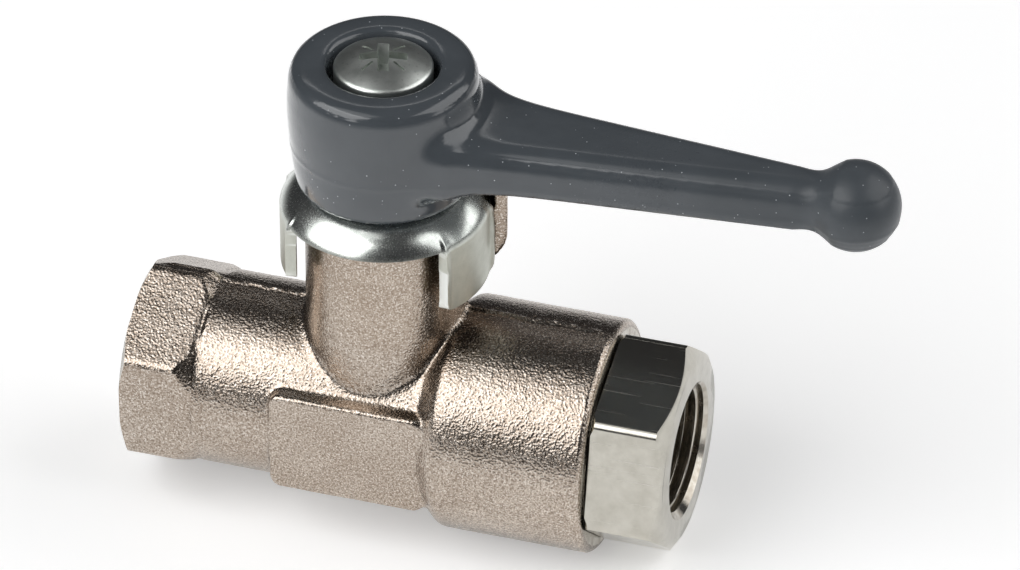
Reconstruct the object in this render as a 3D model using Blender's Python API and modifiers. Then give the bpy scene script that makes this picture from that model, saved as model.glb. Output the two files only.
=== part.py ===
"""Two-way ball valve with a lever handle: G 3/8 female ports, 10 mm bore, long neck and a tabbed stop plate.

Frame: +X along the flow, towards the screwed-in end connector; +Z up along the stem; the origin is the
centre of the ball, where the two axes meet. The valve is open, with the lever over the outlet. Metres.
"""

import math

import bmesh
import bpy
from mathutils import Matrix

MM = 0.001
STEPS = 32
SMALL_STEPS = 24
MERGE = 1e-5
OVERLAP = 1.0 * MM  # how far a cutter runs past a face, or a union runs into its neighbour
CLEARANCE = 0.2 * MM
CREASE = math.radians(28)

# Driving dimensions: the flow axis
PORT_R = 7.5 * MM  # minor radius of the G 3/8 thread
PORT_MOUTH_R = 8.55 * MM
PORT_MOUTH_DEPTH = 1.05 * MM
PORT_DEPTH = 12.5 * MM
BORE_R = 5.0 * MM
BALL_R = 9.0 * MM
INLET_X = -30.5 * MM
BODY_END_X = 28.6 * MM
HEX_START_X = 28.9 * MM
OUTLET_X = 38.2 * MM

# Body
INLET_HEX_FLATS = 23.5 * MM
INLET_HEX_END_X = -22.3 * MM
INLET_FACE_R = 11.9 * MM
HEX_CHAMFER = math.radians(30)
HEX_BLANK_R = 16.0 * MM
RUN_R = 12.0 * MM
SHOULDER_START_X = 7.8 * MM
SHOULDER_END_X = 10.4 * MM
BARREL_R = 14.5 * MM
BARREL_CHAMFER = 0.7 * MM
CAVITY_R = 9.7 * MM
CAVITY_START_X = -4.4 * MM
BODY_THREAD_R = 12.0 * MM
BODY_THREAD_START_X = 16.8 * MM
NECK_R = 9.75 * MM
NECK_TOP_Z = 30.2 * MM
PAD_X = (-11.4 * MM, 8.5 * MM)
PAD_Y = 12.3 * MM
PAD_Z = (-7.6 * MM, 6.3 * MM)
PAD_BEVEL = 0.9 * MM

# Stop lug on the neck, and the stop plate's two tabs
LUG_START = math.radians(13.5)
LUG_END = math.radians(81.5)
LUG_R = 14.8 * MM
LUG_TOP_Z = 31.2 * MM
LUG_LEDGE_Z = 28.5 * MM
LUG_BOTTOM_Z = 19.9 * MM
LUG_FOOT_R = 2.6 * MM
LUG_EDGE = 0.4 * MM
LUG_GAP = 0.35 * MM
PLATE_R = 12.65 * MM
PLATE_T = 1.3 * MM
PLATE_TOP_Z = 32.6 * MM
PLATE_SHOULDER_R = 3.9 * MM
PLATE_RIM_Z = 29.05 * MM
TAB_ROOT = 0.5 * MM  # how far a tab reaches up into the plate's rim
TABS = {  # name: (start, end, bottom)
    "open_tab": (math.radians(-38), math.radians(12), 20.0 * MM),
    "shut_tab": (math.radians(173), math.radians(223), 21.3 * MM),
}

# Seats and their O-rings, each side of the ball
SEAT_GAP = 0.15 * MM
SEAT_INNER_R = 5.2 * MM
SEAT_OUTER_R = 8.3 * MM
SEAT_LIP_R = 7.9 * MM
SEAT_BACK_R = 6.55 * MM
SEAT_BACK_X = 11.2 * MM
SEAT_STEP_X = 9.4 * MM
POCKET_R = 8.5 * MM
POCKET_X = 11.4 * MM
SEAT_RING_SECTION_R = 0.75 * MM

# End connector
OUTLET_HEX_FLATS = 24.0 * MM
OUTLET_HEX_TURN = math.radians(-12.2)
OUTLET_FACE_R = 11.4 * MM
NOSE_R = 9.5 * MM
NOSE_START_X = 5.0 * MM
SPIGOT_R = 11.8 * MM
SPIGOT_START_X = 17.2 * MM
SPIGOT_CHAMFER = 0.8 * MM
NOSE_CHAMFER = 0.4 * MM
CONNECTOR_RING_X = 14.4 * MM
RING_SECTION_R = 0.6 * MM
RING_PROUD = 0.13 * MM  # how far the connector's O-ring stands out of its groove
GROOVE_WIDTH = 2.4 * MM
GROOVE_GAP = 0.08 * MM

# Stem
STEM_R = 5.0 * MM
STEM_BORE_R = 5.15 * MM
TANG_T = 4.0 * MM
TANG_W = 7.8 * MM
TANG_BOTTOM_Z = 6.4 * MM
SLOT_T = 4.5 * MM
SLOT_BOTTOM_Z = 6.1 * MM
COLLAR_R = 6.6 * MM
COLLAR_Z = (9.7 * MM, 11.6 * MM)
COLLAR_POCKET_R = 6.9 * MM
COLLAR_POCKET_Z = 12.6 * MM
THRUST_Z = (11.75 * MM, 12.45 * MM)
STEM_RING_Z = (15.7 * MM, 20.3 * MM)
STEM_SHOULDER_Z = 31.15 * MM
STEM_TOP_Z = 44.6 * MM
DRIVE_R = 4.9 * MM
FLAT_X = 4.0 * MM
DRIVE_GAP = 0.2 * MM
TAPPED_R = 3.15 * MM
TAPPED_BOTTOM_Z = 31.0 * MM
BUSH_BOTTOM_Z = 25.4 * MM
BUSH_R = 6.4 * MM
BUSH_FLANGE_R = 8.6 * MM

# Lever, lock washer and screw
HUB_TOP_Z = 49.1 * MM
HUB_BOTTOM_Z = 32.9 * MM
HUB_R = 11.6 * MM
HUB_TOP_R = 11.3 * MM
HUB_EDGE = 1.2 * MM
HUB_FOOT_R = 10.4 * MM
HUB_FOOT_EDGE = 0.6 * MM
PARTING_Z = 40.5 * MM
RECESS_R = 6.6 * MM
RECESS_FLOOR_Z = 45.0 * MM
RECESS_CHAMFER = 0.5 * MM
ARM_HALF_T = 2.9 * MM
ARM_EDGE = 1.3 * MM
ARM_START_X = 5.0 * MM
ARM_END_X = 56.0 * MM
ARM_START_HALF_W = 7.7 * MM
ARM_END_HALF_W = 2.5 * MM
KNOB_X = 58.0 * MM
KNOB_R = 5.5 * MM
WASHER_Z = (45.15 * MM, 46.0 * MM)
WASHER_R = (3.2 * MM, 5.9 * MM)
WASHER_SLIT = 0.8 * MM
WASHER_SLIT_TURN = math.radians(100)
SCREW_R = 2.95 * MM
SCREW_END_Z = 33.0 * MM
SCREW_CHAMFER = 0.6 * MM
HEAD_R = 5.95 * MM
HEAD_BOTTOM_Z = 46.15 * MM
HEAD_EDGE_Z = 48.9 * MM
HEAD_TOP_Z = 50.3 * MM
RECESS_CROSS_HALF = 3.4 * MM
RECESS_CROSS_T = 1.3 * MM
RECESS_CROSS_DEPTH = 2.6 * MM

parts = bpy.data.collections.new("ball_valve")
cutters = bpy.data.collections.new("cutters")


def clear_scene():
    for obj in list(bpy.data.objects):
        bpy.data.objects.remove(obj, do_unlink=True)
    bpy.context.scene.collection.children.link(parts)
    bpy.context.scene.collection.children.link(cutters)


def material(name, colour, roughness, metallic):
    made = bpy.data.materials.new(name)
    made.use_nodes = True
    shader = made.node_tree.nodes["Principled BSDF"]
    shader.inputs["Base Color"].default_value = (*colour, 1)
    shader.inputs["Roughness"].default_value = roughness
    shader.inputs["Metallic"].default_value = metallic
    return made


def add_object(name, mesh, finish=None):
    """A part if it has a finish, otherwise a helper that the render leaves out."""
    obj = bpy.data.objects.new(name, mesh)
    if finish is None:
        cutters.objects.link(obj)
        obj.hide_render = True
        obj.display_type = "WIRE"
        return obj
    parts.objects.link(obj)
    mesh.materials.clear()
    mesh.materials.append(finish)
    return obj


def turned(name, profile, finish=None, axis="Z", ring=False, steps=STEPS):
    """A profile of (radius, height) points, down its outer side from the top, turned about an axis."""
    mesh = bpy.data.meshes.new(name)
    points = [(radius, 0, height) for radius, height in profile]
    edges = [(i, i + 1) for i in range(len(points) - 1)]
    if ring:
        edges.append((len(points) - 1, 0))
    mesh.from_pydata(points, edges, [])
    obj = add_object(name, mesh, finish)
    screw = obj.modifiers.new("turn", "SCREW")
    screw.steps = screw.render_steps = steps
    screw.use_merge_vertices = True
    screw.merge_threshold = MERGE
    screw.use_smooth_shade = True
    if axis == "X":
        obj.rotation_euler = (0, math.pi / 2, 0)
    return obj


def cylinder(name, radius, low, high, axis="Z", finish=None, steps=STEPS):
    profile = [(0, high), (radius, high), (radius, low), (0, low)]
    return turned(name, profile, finish, axis, steps=steps)


def box(name, low, high, finish=None, bevel=0.0, segments=2):
    mesh = bpy.data.meshes.new(name)
    bm = bmesh.new()
    bmesh.ops.create_cube(bm, size=1)
    size = [b - a for a, b in zip(low, high)]
    centre = [(a + b) / 2 for a, b in zip(low, high)]
    bmesh.ops.transform(bm, matrix=Matrix.Translation(centre) @ Matrix.Diagonal((*size, 1)), verts=bm.verts)
    bm.to_mesh(mesh)
    bm.free()
    obj = add_object(name, mesh, finish)
    if bevel:
        add_bevel(obj, bevel, segments)
    return obj


def add_bevel(obj, width, segments):
    bevel = obj.modifiers.new("bevel", "BEVEL")
    bevel.width = width
    bevel.segments = segments
    bevel.limit_method = "ANGLE"


def prism(name, outline, low, high, finish=None):
    """A flat outline of (x, y) points, extruded between two heights and made a mesh."""
    curve = bpy.data.curves.new(name + "_outline", "CURVE")
    curve.dimensions = "2D"
    curve.fill_mode = "BOTH"
    curve.extrude = (high - low) / 2
    spline = curve.splines.new("POLY")
    spline.points.add(len(outline) - 1)
    for point, (x, y) in zip(spline.points, outline):
        point.co = (x, y, 0, 1)
    spline.use_cyclic_u = True
    guide = bpy.data.objects.new(name + "_outline", curve)
    cutters.objects.link(guide)
    bpy.context.view_layer.update()
    mesh = bpy.data.meshes.new_from_object(guide.evaluated_get(bpy.context.evaluated_depsgraph_get()))
    bpy.data.objects.remove(guide, do_unlink=True)
    bm = bmesh.new()
    bm.from_mesh(mesh)
    bmesh.ops.remove_doubles(bm, verts=bm.verts, dist=MERGE)
    bmesh.ops.translate(bm, verts=bm.verts, vec=(0, 0, (low + high) / 2))
    bmesh.ops.recalc_face_normals(bm, faces=bm.faces)
    bm.to_mesh(mesh)
    bm.free()
    return add_object(name, mesh, finish)


def hexagon(name, flats, low, high, turn):
    """A hexagonal bar along X, with a corner straight up, or turned from there towards -Y."""
    mesh = bpy.data.meshes.new(name)
    bm = bmesh.new()
    corner_r = flats / math.sqrt(3)
    along_x = Matrix.Rotation(math.pi / 2, 4, "Y")
    corner_up = Matrix.Rotation(math.pi / 2 + turn, 4, "X")
    place = Matrix.Translation(((low + high) / 2, 0, 0)) @ corner_up @ along_x
    bmesh.ops.create_cone(
        bm, cap_ends=True, segments=6, radius1=corner_r, radius2=corner_r, depth=high - low, matrix=place
    )
    bm.to_mesh(mesh)
    bm.free()
    return add_object(name, mesh)


def boolean(obj, other, operation="DIFFERENCE"):
    made = obj.modifiers.new(other.name, "BOOLEAN")
    made.operation = operation
    made.object = other
    return obj


def arc(radius, start, end, count):
    """Points (x, y) on a circle round the origin, ends included."""
    angles = [start + (end - start) * i / (count - 1) for i in range(count)]
    return [(radius * math.cos(a), radius * math.sin(a)) for a in angles]


def sector(inner, outer, start, end, count=8):
    return arc(outer, start, end, count) + arc(inner, end, start, count)


def torus_profile(centre_r, centre_h, section_r, count=8):
    """A round section, listed so that it runs down its outer side."""
    turns = [-2 * math.pi * i / count for i in range(count)]
    return [(centre_r + section_r * math.cos(t), centre_h + section_r * math.sin(t)) for t in turns]


def double_d(name, radius, flat, low, high):
    """A round bar with two flats, at +X and -X."""
    half = math.acos(flat / radius)
    outline = arc(radius, half, math.pi - half, 13) + arc(radius, math.pi + half, 2 * math.pi - half, 13)
    return prism(name, outline, low, high)


def drive_hole(name, low, high):
    """A cutter that fits the stem's flats with a little clearance, past both ends."""
    return double_d(name, DRIVE_R + DRIVE_GAP, FLAT_X + DRIVE_GAP, low - OVERLAP, high + OVERLAP)


def port_cutter(name, face_x, towards):
    """The tapping hole of a port, its mouth at face_x; towards is +1 or -1 out of the valve."""
    def at(depth):
        return face_x - towards * depth
    past = at(-OVERLAP)
    points = [
        (0, past), (PORT_MOUTH_R, past), (PORT_MOUTH_R, at(0)), (PORT_R, at(PORT_MOUTH_DEPTH)),
        (PORT_R, at(PORT_DEPTH)), (0, at(PORT_DEPTH)),
    ]
    if towards < 0:
        points.reverse()
    return turned(name, points, axis="X")


def hex_chamfer(name, face_x, towards, face_r):
    """A turned blank whose conical end trims the corners of a hexagon at face_x."""
    inner_x = face_x - towards * math.tan(HEX_CHAMFER) * (HEX_BLANK_R - face_r)
    points = [(0, face_x), (face_r, face_x), (HEX_BLANK_R, inner_x), (HEX_BLANK_R, 0), (0, 0)]
    if towards < 0:
        points.reverse()
    return turned(name, points, axis="X")


def build_body(finish):
    root_x = INLET_HEX_END_X - OVERLAP
    outer = [
        (0, BODY_END_X), (BARREL_R - BARREL_CHAMFER, BODY_END_X), (BARREL_R, BODY_END_X - BARREL_CHAMFER),
        (BARREL_R, SHOULDER_END_X), (RUN_R, SHOULDER_START_X), (RUN_R, root_x), (0, root_x),
    ]
    body = turned("body", outer, finish, axis="X")
    inlet = hexagon("inlet_hexagon", INLET_HEX_FLATS, INLET_X, INLET_HEX_END_X, 0)
    boolean(inlet, hex_chamfer("inlet_chamfer", INLET_X, -1, INLET_FACE_R), "INTERSECT")
    boolean(body, inlet, "UNION")
    boolean(body, cylinder("neck_blank", NECK_R, 0, NECK_TOP_Z), "UNION")
    pad = box("side_pads", (PAD_X[0], -PAD_Y, PAD_Z[0]), (PAD_X[1], PAD_Y, PAD_Z[1]), None, PAD_BEVEL)
    boolean(body, pad, "UNION")
    boolean(body, build_lug(), "UNION")
    for cutter in body_cutters():
        boolean(body, cutter)
    return body


def build_lug():
    """The stop lug: a quarter ring that reaches in to the neck, with an upright outer wall."""
    root_r = NECK_R - OVERLAP
    ledge_r = PLATE_R + LUG_GAP
    foot_arc = arc(LUG_FOOT_R, 0, -math.pi / 2, 4)
    foot = [(LUG_R - LUG_FOOT_R + x, LUG_BOTTOM_Z + LUG_FOOT_R + z) for x, z in foot_arc]
    profile = [
        (ledge_r, LUG_TOP_Z), (LUG_R - LUG_EDGE, LUG_TOP_Z), (LUG_R, LUG_TOP_Z - LUG_EDGE), *foot,
        (root_r, LUG_BOTTOM_Z - OVERLAP), (root_r, LUG_LEDGE_Z), (ledge_r, LUG_LEDGE_Z),
    ]
    lug = turned("lug_ring", profile, ring=True)
    wedge = sector(root_r - OVERLAP, LUG_R + OVERLAP, LUG_START, LUG_END)
    low = LUG_BOTTOM_Z - 2 * OVERLAP
    return boolean(lug, prism("lug_wedge", wedge, low, LUG_TOP_Z + OVERLAP), "INTERSECT")


def body_cutters():
    mouth_x = BODY_END_X + OVERLAP
    bores = [
        (0, mouth_x), (BODY_THREAD_R, mouth_x), (BODY_THREAD_R, BODY_THREAD_START_X),
        (CAVITY_R, BODY_THREAD_START_X), (CAVITY_R, CAVITY_START_X), (POCKET_R, CAVITY_START_X),
        (POCKET_R, -POCKET_X), (BORE_R, -POCKET_X), (BORE_R, INLET_X), (0, INLET_X),
    ]
    neck_mouth_z = NECK_TOP_Z + OVERLAP
    bush_seat_z = BUSH_BOTTOM_Z - CLEARANCE
    stem_hole = [
        (0, neck_mouth_z), (BUSH_R + CLEARANCE, neck_mouth_z), (BUSH_R + CLEARANCE, bush_seat_z),
        (STEM_BORE_R, bush_seat_z), (STEM_BORE_R, COLLAR_POCKET_Z), (COLLAR_POCKET_R, COLLAR_POCKET_Z),
        (COLLAR_POCKET_R, 0), (0, 0),
    ]
    return [
        turned("body_bores", bores, axis="X"),
        turned("stem_hole", stem_hole),
        port_cutter("inlet_port", INLET_X, -1),
    ]


def build_ball(finish):
    mesh = bpy.data.meshes.new("ball")
    bm = bmesh.new()
    bmesh.ops.create_uvsphere(bm, u_segments=32, v_segments=18, radius=BALL_R)
    bm.to_mesh(mesh)
    bm.free()
    ball = add_object("ball", mesh, finish)
    past = BALL_R + OVERLAP
    boolean(ball, cylinder("ball_bore", BORE_R, -past, past, "X"))
    slot = box("ball_slot", (-SLOT_T / 2, -past, SLOT_BOTTOM_Z), (SLOT_T / 2, past, past))
    return boolean(ball, slot)


def seat_profile(side):
    """Half a seat's section on the inlet (-1) or outlet (+1) side of the ball."""
    face_r = BALL_R + SEAT_GAP
    count = 5
    low = math.asin(SEAT_INNER_R / face_r)
    high = math.asin(SEAT_LIP_R / face_r)
    turns = [low + (high - low) * i / (count - 1) for i in range(count)]
    cup = [(face_r * math.sin(t), face_r * math.cos(t)) for t in turns]
    back = [
        (SEAT_OUTER_R, cup[-1][1]), (SEAT_OUTER_R, SEAT_STEP_X), (SEAT_BACK_R, SEAT_STEP_X),
        (SEAT_BACK_R, SEAT_BACK_X), (SEAT_INNER_R, SEAT_BACK_X),
    ]
    section = [(radius, side * x) for radius, x in cup + back]
    return section if side < 0 else section[::-1]


def build_seats(finish, rubber):
    for side, name in ((-1, "inlet"), (1, "outlet")):
        turned(f"{name}_seat", seat_profile(side), finish, "X", ring=True)
        ring_x = side * (SEAT_STEP_X + POCKET_X) / 2
        section = torus_profile((SEAT_BACK_R + POCKET_R) / 2, ring_x, SEAT_RING_SECTION_R)
        turned(f"{name}_seat_o_ring", section, rubber, "X", ring=True, steps=SMALL_STEPS)


def groove(name, shaft_r, ring_r, height, axis):
    """A cutter for the groove of an O-ring that is centred at ring_r and height."""
    floor_r = ring_r - RING_SECTION_R - GROOVE_GAP
    top = height + GROOVE_WIDTH / 2
    low = height - GROOVE_WIDTH / 2
    section = [(shaft_r + OVERLAP, top), (shaft_r + OVERLAP, low), (floor_r, low), (floor_r, top)]
    return turned(name, section, axis=axis, ring=True)


def build_end_connector(finish, rubber):
    root_x = HEX_START_X + OVERLAP
    outer = [
        (0, root_x), (SPIGOT_R, root_x), (SPIGOT_R, SPIGOT_START_X + SPIGOT_CHAMFER),
        (SPIGOT_R - SPIGOT_CHAMFER, SPIGOT_START_X), (NOSE_R, SPIGOT_START_X),
        (NOSE_R, NOSE_START_X + NOSE_CHAMFER), (NOSE_R - NOSE_CHAMFER, NOSE_START_X), (0, NOSE_START_X),
    ]
    connector = turned("end_connector", outer, finish, "X")
    head = hexagon("outlet_hexagon", OUTLET_HEX_FLATS, HEX_START_X, OUTLET_X, OUTLET_HEX_TURN)
    boolean(head, hex_chamfer("outlet_chamfer", OUTLET_X, 1, OUTLET_FACE_R), "INTERSECT")
    boolean(connector, head, "UNION")
    inside = [
        (0, OUTLET_X), (BORE_R, OUTLET_X), (BORE_R, POCKET_X), (POCKET_R, POCKET_X),
        (POCKET_R, NOSE_START_X - OVERLAP), (0, NOSE_START_X - OVERLAP),
    ]
    boolean(connector, turned("connector_bores", inside, axis="X"))
    boolean(connector, port_cutter("outlet_port", OUTLET_X, 1))
    ring_r = NOSE_R + RING_PROUD - RING_SECTION_R
    boolean(connector, groove("connector_groove", NOSE_R, ring_r, CONNECTOR_RING_X, "X"))
    section = torus_profile(ring_r, CONNECTOR_RING_X, RING_SECTION_R)
    turned("connector_o_ring", section, rubber, "X", ring=True, steps=STEPS)
    return connector


def build_stem(finish, rubber):
    shaft = [
        (0, STEM_SHOULDER_Z), (STEM_R, STEM_SHOULDER_Z), (STEM_R, COLLAR_Z[1]), (COLLAR_R, COLLAR_Z[1]),
        (COLLAR_R, COLLAR_Z[0]), (0, COLLAR_Z[0]),
    ]
    stem = turned("stem", shaft, finish, steps=SMALL_STEPS)
    tang_top = COLLAR_Z[0] + OVERLAP
    tang = box("stem_tang", (-TANG_T / 2, -TANG_W / 2, TANG_BOTTOM_Z), (TANG_T / 2, TANG_W / 2, tang_top))
    boolean(stem, tang, "UNION")
    drive = double_d("stem_drive", DRIVE_R, FLAT_X, STEM_SHOULDER_Z - OVERLAP, STEM_TOP_Z)
    boolean(stem, drive, "UNION")
    tapping = cylinder("stem_tapping", TAPPED_R, TAPPED_BOTTOM_Z, STEM_TOP_Z + OVERLAP, steps=SMALL_STEPS)
    boolean(stem, tapping)
    ring_r = STEM_R - RING_SECTION_R
    for name, height in zip(("lower", "upper"), STEM_RING_Z):
        boolean(stem, groove(f"stem_groove_{name}", STEM_R, ring_r, height, "Z"))
        section = torus_profile(ring_r, height, RING_SECTION_R)
        turned(f"stem_o_ring_{name}", section, rubber, ring=True, steps=SMALL_STEPS)
    return stem


def build_stem_bearings(ptfe, acetal):
    inner = STEM_R + CLEARANCE
    low, top = THRUST_Z
    washer = [(COLLAR_R, top), (COLLAR_R, low), (inner, low), (inner, top)]
    turned("stem_thrust_washer", washer, ptfe, ring=True, steps=SMALL_STEPS)
    flange_low = NECK_TOP_Z + CLEARANCE
    flange_top = PLATE_TOP_Z - PLATE_T - CLEARANCE
    bush = [
        (BUSH_FLANGE_R, flange_top), (BUSH_FLANGE_R, flange_low), (BUSH_R, flange_low),
        (BUSH_R, BUSH_BOTTOM_Z), (inner, BUSH_BOTTOM_Z), (inner, flange_top),
    ]
    turned("stem_guide_bush", bush, acetal, ring=True, steps=SMALL_STEPS)


def build_stop_plate(finish):
    flat_r = PLATE_R - PLATE_SHOULDER_R
    centre_z = PLATE_TOP_Z - PLATE_SHOULDER_R
    last = math.asin((PLATE_RIM_Z - centre_z) / PLATE_SHOULDER_R)
    count = 7
    turns = [math.pi / 2 + (last - math.pi / 2) * i / (count - 1) for i in range(count)]

    def shoulder(radius):
        return [(flat_r + radius * math.cos(t), centre_z + radius * math.sin(t)) for t in turns]

    inside = shoulder(PLATE_SHOULDER_R - PLATE_T)[::-1]
    section = [(0, PLATE_TOP_Z), *shoulder(PLATE_SHOULDER_R), *inside, (0, PLATE_TOP_Z - PLATE_T)]
    plate = turned("stop_plate", section, finish)
    top = PLATE_RIM_Z + TAB_ROOT
    for name, (start, end, bottom) in TABS.items():
        outline = sector(PLATE_R - PLATE_T, PLATE_R, start, end)
        boolean(plate, prism(name, outline, bottom, top), "UNION")
    return boolean(plate, drive_hole("plate_hole", PLATE_TOP_Z - PLATE_T, PLATE_TOP_Z))


def build_lever(finish):
    corner_arc = arc(HUB_EDGE, math.pi / 2, 0, 5)
    corner = [(HUB_TOP_R - HUB_EDGE + x, HUB_TOP_Z - HUB_EDGE + z) for x, z in corner_arc]
    hub = [
        (0, HUB_TOP_Z), *corner, (HUB_R, PARTING_Z),
        (HUB_FOOT_R + HUB_FOOT_EDGE, HUB_BOTTOM_Z + 2 * HUB_FOOT_EDGE),
        (HUB_FOOT_R, HUB_BOTTOM_Z), (0, HUB_BOTTOM_Z),
    ]
    lever = turned("lever_handle", hub, finish)
    boolean(lever, build_arm(), "UNION")
    boolean(lever, build_knob(), "UNION")
    mouth_r = RECESS_R + RECESS_CHAMFER
    recess = [
        (0, HUB_TOP_Z + OVERLAP), (mouth_r, HUB_TOP_Z + OVERLAP), (mouth_r, HUB_TOP_Z),
        (RECESS_R, HUB_TOP_Z - RECESS_CHAMFER), (RECESS_R, RECESS_FLOOR_Z), (0, RECESS_FLOOR_Z),
    ]
    boolean(lever, turned("head_recess", recess))
    return boolean(lever, drive_hole("lever_socket", HUB_BOTTOM_Z, RECESS_FLOOR_Z))


def build_arm():
    """A bar that tapers in plan from the hub to the knob, with rounded long edges."""
    low = (ARM_START_X, -ARM_START_HALF_W, PARTING_Z - ARM_HALF_T)
    arm = box("lever_arm", low, (ARM_END_X, ARM_START_HALF_W, PARTING_Z + ARM_HALF_T))
    for vertex in arm.data.vertices:
        if vertex.co.x > ARM_START_X + OVERLAP:
            vertex.co.y = math.copysign(ARM_END_HALF_W, vertex.co.y)
    add_bevel(arm, ARM_EDGE, 3)
    return arm


def build_knob():
    mesh = bpy.data.meshes.new("lever_knob")
    bm = bmesh.new()
    bmesh.ops.create_uvsphere(bm, u_segments=28, v_segments=18, radius=KNOB_R)
    bmesh.ops.translate(bm, verts=bm.verts, vec=(KNOB_X, 0, PARTING_Z))
    bm.to_mesh(mesh)
    bm.free()
    return add_object("lever_knob", mesh)


def build_lock_washer(finish):
    inner, outer = WASHER_R
    low, top = WASHER_Z
    section = [(outer, top), (outer, low), (inner, low), (inner, top)]
    washer = turned("lock_washer", section, finish, ring=True, steps=SMALL_STEPS)
    half = WASHER_SLIT / 2
    slit = box("washer_slit", (0, -half, low - OVERLAP), (outer + OVERLAP, half, top + OVERLAP))
    slit.rotation_euler = (0, 0, WASHER_SLIT_TURN)
    return boolean(washer, slit)


def build_screw(finish):
    """An M6 pan-head screw with a cross recess."""
    rise = HEAD_TOP_Z - HEAD_EDGE_Z
    dome_r = (HEAD_R ** 2 + rise ** 2) / (2 * rise)
    count = 6
    edge = math.asin(HEAD_R / dome_r)
    turns = [edge * i / (count - 1) for i in range(count)]
    dome = [(dome_r * math.sin(t), HEAD_TOP_Z - dome_r * (1 - math.cos(t))) for t in turns]
    rest = [
        (HEAD_R, HEAD_BOTTOM_Z), (SCREW_R, HEAD_BOTTOM_Z), (SCREW_R, SCREW_END_Z + SCREW_CHAMFER),
        (SCREW_R - SCREW_CHAMFER, SCREW_END_Z), (0, SCREW_END_Z),
    ]
    screw = turned("handle_screw", dome + rest, finish, steps=SMALL_STEPS)
    half = RECESS_CROSS_T / 2
    floor_z = HEAD_TOP_Z - RECESS_CROSS_DEPTH
    for name, turn in (("cross_slot_x", 0), ("cross_slot_y", math.pi / 2)):
        top = HEAD_TOP_Z + OVERLAP
        slot = box(name, (-RECESS_CROSS_HALF, -half, floor_z), (RECESS_CROSS_HALF, half, top))
        slot.rotation_euler = (0, 0, turn)
        boolean(screw, slot)
    return screw


def shade_by_angle():
    """Gives each part its final mesh, smooth where it is round and crisp at its edges."""
    bpy.context.view_layer.update()
    depsgraph = bpy.context.evaluated_depsgraph_get()
    pieces = [obj for obj in parts.objects if obj.type == "MESH"]
    meshes = [bpy.data.meshes.new_from_object(obj.evaluated_get(depsgraph)) for obj in pieces]
    for obj, mesh in zip(pieces, meshes):
        obj.modifiers.clear()
        obj.data = mesh
        mesh.shade_smooth()
        mesh.set_sharp_from_angle(angle=CREASE)


def hang_on(axis_name, names):
    """Parents the named pieces to an empty on their turning axis, at the centre of the ball."""
    pivot = bpy.data.objects.new(axis_name, None)
    parts.objects.link(pivot)
    for name in names:
        bpy.data.objects[name].parent = pivot


def main():
    clear_scene()
    forged = material("nickel_plated_forging", (0.47, 0.41, 0.36), 0.42, 1.0)
    machined = material("nickel_plated_machined", (0.70, 0.68, 0.63), 0.2, 1.0)
    chrome = material("chromed_ball", (0.75, 0.75, 0.76), 0.08, 1.0)
    brass = material("stem_metal", (0.62, 0.58, 0.50), 0.3, 1.0)
    zinc = material("zinc_plated_steel", (0.66, 0.68, 0.68), 0.3, 1.0)
    coating = material("grey_coating", (0.065, 0.075, 0.085), 0.25, 0.0)
    ptfe = material("ptfe", (0.85, 0.85, 0.83), 0.5, 0.0)
    acetal = material("acetal", (0.80, 0.79, 0.74), 0.45, 0.0)
    rubber = material("nitrile_rubber", (0.02, 0.02, 0.02), 0.6, 0.0)
    build_body(forged)
    build_end_connector(machined, rubber)
    build_seats(ptfe, rubber)
    build_ball(chrome)
    build_stem(brass, rubber)
    build_stem_bearings(ptfe, acetal)
    build_stop_plate(zinc)
    build_lever(coating)
    build_lock_washer(zinc)
    build_screw(zinc)
    shade_by_angle()
    hang_on("ball_axis", ["ball"])
    hang_on("lever_axis", [
        "stem", "stem_o_ring_lower", "stem_o_ring_upper", "stop_plate", "lever_handle", "lock_washer",
        "handle_screw",
    ])


main()
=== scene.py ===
"""The look of a forged ball valve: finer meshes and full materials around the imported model."""

import math

import bmesh
import bpy
from mathutils import Matrix, Vector, noise


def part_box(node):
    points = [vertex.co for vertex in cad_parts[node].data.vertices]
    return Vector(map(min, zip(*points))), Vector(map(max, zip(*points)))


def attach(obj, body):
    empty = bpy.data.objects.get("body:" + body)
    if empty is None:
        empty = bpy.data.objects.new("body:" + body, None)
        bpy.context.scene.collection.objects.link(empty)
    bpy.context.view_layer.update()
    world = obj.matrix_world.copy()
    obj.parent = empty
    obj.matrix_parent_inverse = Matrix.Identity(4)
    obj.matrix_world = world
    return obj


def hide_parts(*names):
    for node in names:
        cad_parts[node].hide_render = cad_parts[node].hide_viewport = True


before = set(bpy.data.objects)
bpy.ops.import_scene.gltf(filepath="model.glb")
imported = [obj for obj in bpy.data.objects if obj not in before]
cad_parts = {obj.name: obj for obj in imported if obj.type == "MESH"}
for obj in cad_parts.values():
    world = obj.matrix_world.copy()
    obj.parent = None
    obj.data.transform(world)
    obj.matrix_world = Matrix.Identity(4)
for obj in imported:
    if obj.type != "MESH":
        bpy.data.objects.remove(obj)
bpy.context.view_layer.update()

# X is the flow axis, Z the stem's, and the photograph looks from -Y. Lengths are in millimetres up to
# place(), which brings each finished mesh to metres. The stage, the lights and the camera are in metres.
MM = 0.001
TINY = 1e-4  # points nearer than this are one
PAST = 1.0  # how far a blank or a cutter runs past the face that trims it
FINE = 128  # steps round a turned shape
CREASE = math.radians(40)  # edges that turn by more stay sharp


def box_mm(node):
    low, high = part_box(node)
    return low / MM, high / MM


BODY_LOW, BODY_HIGH = box_mm("body")
CONNECTOR_LOW, CONNECTOR_HIGH = box_mm("end_connector")
PLATE_LOW, PLATE_HIGH = box_mm("stop_plate")
LEVER_LOW, LEVER_HIGH = box_mm("lever_handle")
SCREW_LOW, SCREW_HIGH = box_mm("handle_screw")
STEM_LOW, STEM_HIGH = box_mm("stem")
BALL_R = box_mm("ball")[1].y

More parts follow.
